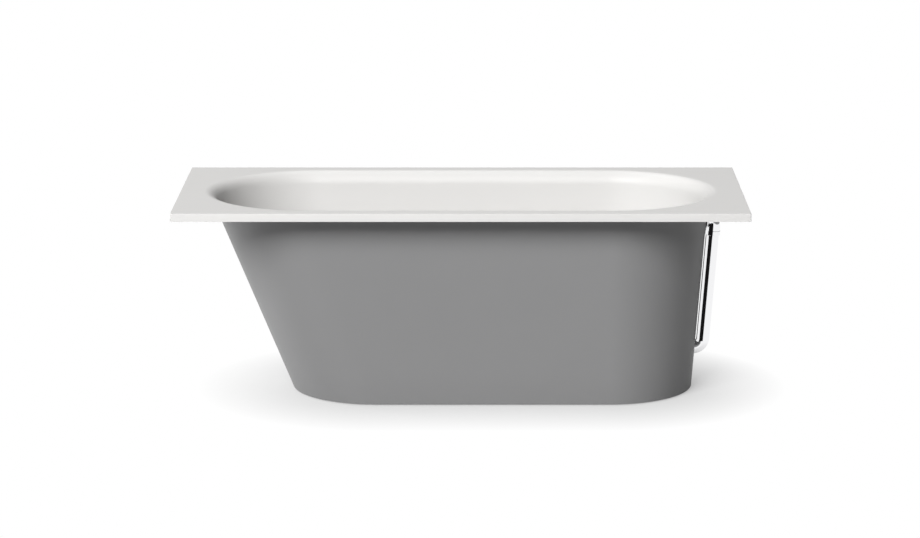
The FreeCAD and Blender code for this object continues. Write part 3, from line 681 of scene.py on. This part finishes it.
def wall_to_floor(tub, ring, height, inset, radius, fall):
    """Walls, a round sweep and the flat below; each ring of the sweep takes up more of its fall."""
    flat = flat_ring(tub, height, inset, radius, -1)
    ring = carry_loop(ring, wall_rings(tub, ring.height, height + radius, inset))
    tilt = 0.0
    for depth in sweep_depths(radius, tub.sweep_steps)[-2::-1] + [0.0]:
        ring = carry_loop(ring, [swept_ring(tub, flat, depth, radius, -1)])
        turn = fall * (1 - depth / radius) - tilt
        tilt += turn
        bpy.ops.transform.rotate(value=-turn, orient_axis="Y",
                                 center_override=(tub.waste_x, 0, ring.height))
    push(ORIGIN)
    shrink = 1 - tub.shoulder / flat.half
    bpy.ops.transform.resize(value=(shrink, shrink, 1), center_override=ORIGIN)
    bpy.ops.mesh.edge_face_add()


def overflow_place(tub, fit):
    """Placement of the overflow on the casing's foot end: local x outwards, local z up the wall."""
    height = DECK_HIGH.z - fit.overflow_drop
    spot = Vector((tub.foot_centre + skin_ring(tub, height, 0).half, 0, height))
    return Matrix.Translation(spot) @ Matrix.Rotation(skin_slopes(tub)[0], 4, "Y")


# ---- operators

class BATH_OT_tub(bpy.types.Operator):
    """Model the white deck and basin as one casting"""
    bl_idname = "bath.model_tub"
    bl_label = "Tub"

    def execute(self, context):
        tub = context.scene.bath_tub
        white = context.scene.bath_finishes.white_tub
        piece = new_piece("tub")
        mouth = self.inside(tub)
        rim, brim = self.deck(tub)
        back = self.outside(tub)
        for loops in (mouth + rim, brim + back):
            choose(loops)
            bpy.ops.mesh.fill()
        finish_piece(piece)
        self.holes(piece, tub, context.scene.bath_fittings)
        dress(piece, tub_white(white), "bath", "white_tub", "tub_basin")
        piece.data.materials.append(tub_back(white))
        self.mark_back(piece, tub)
        return {"FINISHED"}

    def inside(self, tub):
        """Lip, walls and falling floor, ring by ring from the deck down."""
        stack = wall_stack(tub)
        mouth = flat_ring(tub, DECK_HIGH.z, stack, tub.lip_radius, 1)
        ring = lay_ring(Ring(mouth.half + tub.shoulder, mouth.left, mouth.right, mouth.height),
                        tub.quarter_steps)
        shoulder = chosen()
        lip = [swept_ring(tub, mouth, depth, tub.lip_radius, 1)
               for depth in sweep_depths(tub.lip_radius, tub.sweep_steps)]
        ring = carry_loop(ring, [mouth] + lip)
        fall = atan(tub.floor_fall / (tub.waste_x - tub.head_tip_base))
        wall_to_floor(tub, ring, DECK_HIGH.z - tub.basin_depth, stack, tub.floor_radius, fall)
        return shoulder

    def outside(self, tub):
        """The back of the basin under the deck, down to its flat underside."""
        gap = tub.casing_wall + tub.bond_gap
        ring = lay_ring(skin_ring(tub, DECK_HIGH.z - tub.deck_thickness, gap), tub.quarter_steps)
        start = chosen()
        wall_to_floor(tub, ring, DECK_HIGH.z - tub.basin_depth - tub.basin_wall, gap,
                      tub.floor_radius + tub.basin_wall, 0.0)
        return start

    def deck(self, tub):
        """The deck's rim: flat top, rounded edge and side; returns both its open loops."""
        size = DECK_HIGH - DECK_LOW
        first = len(edit_mesh().verts)
        strip = tub.deck_edge + tub.shoulder
        inset, drop = strip, 0.0
        bpy.ops.mesh.select_all(action="DESELECT")
        bpy.ops.mesh.primitive_plane_add(size=1, location=(0, 0, DECK_HIGH.z))
        bpy.ops.transform.resize(value=(size.x - 2 * inset, size.y - 2 * inset, 1))
        bpy.ops.mesh.bevel(affect="VERTICES", offset=tub.deck_corner, segments=tub.edge_steps)
        choose(vert.index for vert in edit_mesh().verts[first:])
        bpy.ops.mesh.delete(type="ONLY_FACE")
        choose(vert.index for vert in edit_mesh().verts[first:])
        edge = [(tub.deck_edge * (1 - sin(turn)), tub.deck_edge * (1 - cos(turn)))
                for turn in quarter_turns(tub.edge_steps)]
        for new_inset, new_drop in edge + [(0.0, tub.deck_thickness)]:
            push(ORIGIN)
            scale = [(side - 2 * new_inset) / (side - 2 * inset) for side in size.xy]
            bpy.ops.transform.resize(value=(*scale, 1), center_override=ORIGIN)
            bpy.ops.transform.translate(value=(0, 0, drop - new_drop))
            inset, drop = new_inset, new_drop
        brim = chosen()
        rim = [vert.index for vert in edit_mesh().verts
               if self.on_rim(vert.co, size / 2, strip, tub.deck_corner)]
        return rim, brim

    def on_rim(self, spot, half, strip, corner):
        """Whether a point is on the innermost loop of the deck's rim."""
        past = max(abs(spot.x) - half.x, abs(spot.y) - half.y) + strip
        return abs(spot.z - DECK_HIGH.z) < TOUCH and -corner < past < TOUCH

    def holes(self, piece, tub, fit):
        """Seat and hole of the overflow, sunk seat and hole of the waste."""
        place = overflow_place(tub, fit)
        stack = wall_stack(tub)
        deep, face, past = (place @ (X_AXIS * x) for x in (-stack - fit.reach, -stack, fit.reach))
        cut_round(piece, fit.cover_radius + fit.seat_margin, deep, face, fit.round_steps)
        cut_round(piece, fit.elbow_radius + fit.clearance, deep, past, fit.round_steps)
        drain = Vector((tub.waste_x, 0, DECK_HIGH.z - tub.basin_depth))
        up = Z_AXIS * fit.reach
        cut_round(piece, fit.waste_recess, drain - Z_AXIS * fit.recess_depth, drain + up,
                  fit.round_steps)
        cut_round(piece, fit.waste_hole, drain - up, drain + up, fit.round_steps)

    def mark_back(self, piece, tub):
        """Give the faces that look away from the basin, below the deck, the rough back's finish."""
        underside = DECK_HIGH.z - tub.deck_thickness + TOUCH
        bpy.ops.object.mode_set(mode="EDIT")
        bpy.ops.mesh.select_mode(type="FACE")
        bpy.ops.mesh.select_all(action="DESELECT")
        for face in edit_mesh().faces:
            centre = face.calc_center_median()
            outwards = centre.x - min(max(centre.x, tub.head_tip_base), tub.foot_centre), centre.y
            away = face.normal.x * outwards[0] + face.normal.y * outwards[1] > 0
            face.select_set(centre.z < underside and face.normal.z < FLAT
                            and (away or face.normal.z < -FLAT))
        bmesh.update_edit_mesh(piece.data)
        piece.active_material_index = 1
        bpy.ops.object.material_slot_assign()
        bpy.ops.object.mode_set(mode="OBJECT")


class BATH_OT_casing(bpy.types.Operator):
    """Model the grey casing that narrows towards the floor"""
    bl_idname = "bath.model_casing"
    bl_label = "Casing"

    def execute(self, context):
        tub = context.scene.bath_tub
        fit = context.scene.bath_fittings
        piece = new_piece("casing")
        low, high = BASE_LOW.z, BASE_HIGH.z
        ring = lay_ring(skin_ring(tub, high, 0.0), tub.quarter_steps)
        ring = carry_loop(ring, wall_rings(tub, high, low + tub.casing_edge, 0.0))
        edge = [skin_ring(tub, low + tub.casing_edge * (1 - sin(turn)),
                          tub.casing_edge * (1 - cos(turn)))
                for turn in quarter_turns(tub.edge_steps)[1:]]
        ring = carry_loop(ring, edge + [skin_ring(tub, low, tub.casing_wall)])
        carry_loop(ring, wall_rings(tub, low, high, tub.casing_wall))
        join_open_ends()
        finish_piece(piece)
        place = overflow_place(tub, fit)
        cut_round(piece, fit.elbow_radius + fit.clearance, place @ (X_AXIS * -fit.reach),
                  place @ (X_AXIS * fit.reach), fit.round_steps)
        level = Vector((tub.foot_centre, 0, fit.pipe_height))
        cut_round(piece, fit.pipe_radius + fit.pipe_clearance, level,
                  level + X_AXIS * tub.half_top, fit.round_steps)
        dress(piece, casing_grey(context.scene.bath_finishes.grey_casing), "bath", "grey_casing",
              "outer_casing")
        return {"FINISHED"}


class BATH_OT_overflow(bpy.types.Operator):
    """Model the chromed elbow, ring nut and pipe outside the foot end"""
    bl_idname = "bath.model_overflow"
    bl_label = "Overflow pipe"

    def execute(self, context):
        tub = context.scene.bath_tub
        fit = context.scene.bath_fittings
        chrome = chrome_plate(context.scene.bath_finishes.chrome)
        place = overflow_place(tub, fit)
        dress(self.elbow(tub, fit, place), chrome, "bath", "chrome", "overflow_elbow")
        dress(self.nut(fit, place), chrome, "bath", "chrome", "overflow_nut")
        dress(self.pipe(tub, fit, place), chrome, "bath", "chrome", "overflow_tube")
        return {"FINISHED"}

    def elbow(self, tub, fit, place):
        """Shank, quarter bend and socket in one skin that turns back on itself as the bore."""
        piece = new_piece("elbow")
        across = fit.pipe_radius + fit.standoff
        shank = wall_stack(tub) - fit.shank_setback
        bore = fit.elbow_radius - fit.elbow_wall
        turn_rings([(fit.elbow_radius, -shank), (fit.elbow_radius, 0)], ORIGIN, X_AXIS,
                   fit.round_steps)
        bend = {"steps": fit.bend_steps, "center": (0, 0, -across), "axis": (0, 1, 0)}
        bpy.ops.mesh.spin(angle=-QUARTER, **bend)
        mouth = -fit.socket_drop
        collar = mouth + fit.thread_length
        socket = mouth + fit.socket_depth
        rings = [(fit.elbow_radius, -across), (fit.elbow_radius, collar),
                 (fit.thread_radius, collar), (fit.thread_radius, mouth), (fit.pipe_radius, mouth),
                 (fit.pipe_radius, socket), (bore, socket), (bore, -across)]
        carry_round(rings, X_AXIS * across, Z_AXIS)
        bpy.ops.mesh.spin(angle=QUARTER, **bend)
        push((-shank, 0, 0))
        join_open_ends()
        back = fit.gasket
        front = back + fit.flange_thickness
        chamfer = fit.nut_edge
        face = fit.flange_radius - chamfer
        rings = [(bore, back), (face, back), (fit.flange_radius, back + chamfer),
                 (fit.flange_radius, front - chamfer), (face, front), (bore, front)]
        turn_rings(rings, ORIGIN, X_AXIS, fit.round_steps)
        join_open_ends()
        finish_piece(piece)
        return settle(piece, place)

    def nut(self, fit, place):
        """Ring nut with chamfered rims, a threaded bore and a smaller mouth for the pipe."""
        piece = new_piece("ring_nut")
        top = fit.thread_length - fit.socket_drop
        low = top - fit.nut_length
        step = low + fit.nut_floor
        edge = fit.nut_edge
        face = fit.nut_radius - edge
        rings = [(fit.pipe_radius, low), (face, low), (fit.nut_radius, low + edge),
                 (fit.nut_radius, top - edge), (face, top), (fit.thread_radius, top),
                 (fit.thread_radius, step), (fit.pipe_radius, step)]
        turn_rings(rings, X_AXIS * (fit.pipe_radius + fit.standoff), Z_AXIS, fit.round_steps)
        join_open_ends()
        finish_piece(piece)
        return settle(piece, place)

    def pipe(self, tub, fit, place):
        """Level run out of the casing, the bottom bend and the rise beside the wall."""
        piece = new_piece("overflow_pipe")
        turn = QUARTER - skin_slopes(tub)[0]
        across = fit.pipe_radius + fit.standoff
        top = place @ Vector((across, 0, fit.socket_depth - fit.socket_drop))
        rise = place.to_3x3() @ Z_AXIS
        corner = top - rise * ((top.z - fit.pipe_height) / rise.z)
        tangent = fit.pipe_bend * tan(turn / 2)
        start = corner.x - tangent
        turn_rings([(fit.pipe_radius, fit.pipe_end), (fit.pipe_radius, start)],
                   Z_AXIS * fit.pipe_height, X_AXIS, fit.round_steps)
        bpy.ops.mesh.spin(steps=fit.bend_steps, angle=turn, axis=(0, 1, 0),
                          center=(start, 0, fit.pipe_height + fit.pipe_bend))
        push(top - (corner + rise * tangent))
        finish_piece(piece)
        apply_modifier(piece, "SOLIDIFY", thickness=fit.pipe_wall, offset=-1.0)
        return piece


class BATH_OT_rods(bpy.types.Operator):
    """Model the threads of the four levelling feet"""
    bl_idname = "bath.model_rods"
    bl_label = "Levelling rods"

    def execute(self, context):
        fit = context.scene.bath_fittings
        zinc = zinc_plate(context.scene.bath_finishes.zinc)
        for foot in FEET:
            low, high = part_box(foot + "_rod")
            piece = self.rod(fit, foot, high.z - low.z)
            middle = (low + high) / 2
            settle(piece, Matrix.Translation((middle.x, middle.y, low.z)))
            dress(piece, zinc, foot, "zinc_steel", foot + "_rod")
        return {"FINISHED"}

    def rod(self, fit, foot, tall):
        """A core with one ridge wound round it."""
        piece = new_piece(foot + "_thread")
        reach = (fit.rod_radius - fit.rod_core) / 1.5  # a triangle is one and a half radii deep
        bpy.ops.mesh.primitive_circle_add(vertices=3, radius=1, rotation=(QUARTER, 0, 0))
        bpy.ops.transform.resize(value=(reach, 1, fit.rod_pitch / sqrt(3)),
                                 center_override=ORIGIN)
        bpy.ops.transform.translate(value=(fit.rod_radius - reach, 0, fit.rod_pitch))
        finish_piece(piece)
        turns = int(tall / fit.rod_pitch) - 2  # the ridge stops a turn short of either end
        apply_modifier(piece, "SCREW", screw_offset=fit.rod_pitch, iterations=turns,
                       steps=fit.thread_steps, use_normal_calculate=True)
        bpy.ops.object.mode_set(mode="EDIT")
        chamfer = fit.rod_pitch / 2
        rings = [(fit.rod_core - chamfer, 0), (fit.rod_core, chamfer),
                 (fit.rod_core, tall - chamfer), (fit.rod_core - chamfer, tall)]
        turn_rings(rings, ORIGIN, Z_AXIS, 2 * fit.thread_steps)
        bpy.ops.mesh.edge_face_add()
        finish_piece(piece)
        return piece


class BATH_OT_finishes(bpy.types.Operator):
    """Give every construction node the finish of its slot"""
    bl_idname = "bath.apply_finishes"
    bl_label = "Finishes"

    def execute(self, context):
        shades = context.scene.bath_finishes
        finishes = {
            "white_tub": tub_white(shades.white_tub),
            "grey_casing": casing_grey(shades.grey_casing),
            "chrome": chrome_plate(shades.chrome),
            "zinc_steel": zinc_plate(shades.zinc),
            "brass_fitting": turned_brass(shades.brass),
            "white_plastic": moulded("white plastic", shades.white_plastic, roughness=0.34),
            "seal_rubber": moulded("seal rubber", shades.rubber, roughness=0.55),
            "foot_plastic": moulded("foot nylon", shades.nylon, roughness=0.42),
            "board": chipboard(shades.board, shades.board_dark),
        }
        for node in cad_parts.values():
            for slot in node.material_slots:
                slot.material = finishes[slot.material.name]
        return {"FINISHED"}


class BATH_OT_stage(bpy.types.Operator):
    """Set up the floor, the soft lamps and the camera"""
    bl_idname = "bath.set_stage"
    bl_label = "Stage"

    def execute(self, context):
        stage = context.scene.bath_stage
        tub = context.scene.bath_tub
        self.floor(stage, tub)
        self.world(context.scene, stage)
        for name in ("key", "fill", "rim"):
            self.lamp(stage, name, stage.lamp_distance, mirrored=True)
        self.lamp(stage, "low", stage.low_distance, mirrored=False)
        place = overflow_place(tub, context.scene.bath_fittings)
        # cards that paint a light and a dark reflection band into the chrome pipe
        for name in ("white_card", "black_card"):
            self.card(stage, name, place)
        self.camera(context, stage)
        return {"FINISHED"}

    def floor(self, stage, tub):
        """A pale floor that keeps the soft shadow near the base and is plain white further away."""
        bpy.ops.object.select_all(action="DESELECT")
        bpy.ops.mesh.primitive_plane_add(size=stage.floor_size, location=(0, 0, -stage.floor_drop))
        floor = bpy.context.object
        floor.name = "floor"
        finish = Finish("floor")
        spot = finish.spot()
        along, across = (finish.node("ShaderNodeSeparateXYZ", None, {"Vector": spot}, output=axis)
                         for axis in "XY")
        base = skin_ring(tub, BASE_LOW.z, 0.0)
        beside = along - along.clamped(base.left, base.right)
        distance = (beside * beside + across * across).root() - base.half
        lift = distance.mapped(0, stage.shadow_reach) * (1 - stage.shadow_lift) + stage.shadow_lift
        seen = sum(finish.node("ShaderNodeLightPath", output="Is " + ray + " Ray")
                   for ray in ("Camera", "Glossy", "Transmission"))
        matt = finish.node("ShaderNodeBsdfDiffuse", None, {"Color": grey(stage.floor_white)})
        plain = finish.node("ShaderNodeEmission", None, {"Color": grey(1.0)})
        finish.close(finish.node("ShaderNodeMixShader", None, {0: seen * lift, 1: matt, 2: plain}))
        floor.data.materials.append(finish.material)
        floor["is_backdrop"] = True

    def world(self, scene, stage):
        """Surroundings that the camera sees as plain white and that light only mirrors."""
        world = bpy.data.worlds.new("surroundings")
        world.use_nodes = True
        tree = world.node_tree
        tree.nodes.clear()
        path = tree.nodes.new("ShaderNodeLightPath")
        seen = Wire(tree, path.outputs["Is Camera Ray"])
        mirrored = Wire(tree, path.outputs["Is Glossy Ray"])
        light = tree.nodes.new("ShaderNodeBackground")
        connect(tree, light.inputs["Strength"], seen + mirrored * stage.reflected_light)
        connect(tree, light.inputs["Color"], grey(1.0))
        out = tree.nodes.new("ShaderNodeOutputWorld")
        tree.links.new(light.outputs[0], out.inputs["Surface"])
        scene.world = world

    def lamp(self, stage, name, distance, mirrored):
        """A square soft lamp that looks at the middle of the bath from a side and a height."""
        side, height, spread = getattr(stage, name)
        aim = Z_AXIS * (DECK_HIGH.z / 2)
        arm = Matrix.Rotation(side, 3, "Z") @ Matrix.Rotation(-height, 3, "Y") @ X_AXIS
        bpy.ops.object.light_add(type="AREA", location=aim + arm * distance, rotation=facing(arm))
        lamp = bpy.context.object
        lamp.name = name + "_lamp"
        lamp.data.size = 2 * distance * tan(spread / 2)
        lamp.data.energy = getattr(stage, name + "_light")
        lamp.visible_camera = False
        lamp.visible_glossy = mirrored

    def card(self, stage, name, place):
        """An upright glowing card beside the pipe that only mirroring surfaces see: a painted
        reflection, a light or a dark band in the chrome.
        """
        edges = getattr(stage, name)
        start, end = Vector(edges[:2]), Vector(edges[2:])
        along = end - start
        middle = ((start + end) / 2).to_3d() - Z_AXIS * stage.card_drop
        bpy.ops.mesh.primitive_plane_add(size=1)
        card = bpy.context.object
        card.name = name
        card.data.transform(place @ Matrix.Translation(middle)
                            @ Matrix.Rotation(atan2(along.y, along.x), 4, "Z")
                            @ Matrix.Rotation(QUARTER, 4, "X")
                            @ Matrix.Diagonal((along.length, stage.card_height, 1, 1)))
        finish = Finish(name)
        # the card's grey glows though it is no lamp: painted light that only reflections show
        light = grey(getattr(stage, name + "_light"))
        finish.close(finish.node("ShaderNodeEmission", None, {"Color": light}))
        card.data.materials.append(finish.material)
        for ray in ("camera", "diffuse", "transmission", "shadow"):
            setattr(card, "visible_" + ray, False)
        card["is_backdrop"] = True

    def camera(self, context, stage):
        """The photo's view, with whites shown as they are."""
        bpy.ops.object.camera_add(location=stage.camera_place, rotation=(stage.camera_tilt, 0, 0))
        camera = context.object
        camera.data.lens = stage.focal_length
        camera.data.sensor_width = stage.film_width
        camera.data.shift_x = stage.sideways_shift
        camera.data.clip_end = stage.view_depth
        context.scene.camera = camera
        context.scene.view_settings.view_transform = "Standard"


# ---- panel and registration

OPERATORS = (BATH_OT_tub, BATH_OT_casing, BATH_OT_overflow, BATH_OT_rods, BATH_OT_finishes,
             BATH_OT_stage)
SETTINGS = {"bath_tub": TubSettings, "bath_fittings": FittingSettings,
            "bath_finishes": FinishSettings, "bath_stage": StageSettings}


class BATH_PT_panel(bpy.types.Panel):
    """Settings of the bath and the steps that build it"""
    bl_label = "Alcove bathtub"
    bl_idname = "BATH_PT_panel"
    bl_space_type = "VIEW_3D"
    bl_region_type = "UI"
    bl_category = "Bath"

    def draw(self, context):
        for group_name, group in SETTINGS.items():
            box = self.layout.box()
            box.label(text=group.__doc__)
            for setting in group.__annotations__:
                box.prop(getattr(context.scene, group_name), setting)
        for operator in OPERATORS:
            self.layout.operator(operator.bl_idname)


def register():
    for kind in (*SETTINGS.values(), *OPERATORS, BATH_PT_panel):
        bpy.utils.register_class(kind)
    for name, group in SETTINGS.items():
        setattr(bpy.types.Scene, name, PointerProperty(type=group))


def unregister():
    for name in SETTINGS:
        delattr(bpy.types.Scene, name)
    for kind in reversed((*SETTINGS.values(), *OPERATORS, BATH_PT_panel)):
        bpy.utils.unregister_class(kind)


def plain(corners):
    return [list(corner) for corner in corners]


def main():
    register()
    bpy.ops.bath.model_tub()
    bpy.ops.bath.model_casing()
    bpy.ops.bath.model_overflow()
    bpy.ops.bath.model_rods()
    bpy.ops.bath.apply_finishes()
    bpy.ops.bath.set_stage()
    bpy.context.view_layer.update()
    {"cad": plain(cad_box), "visual": plain(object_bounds())}


if __name__ == "__main__":
    main()
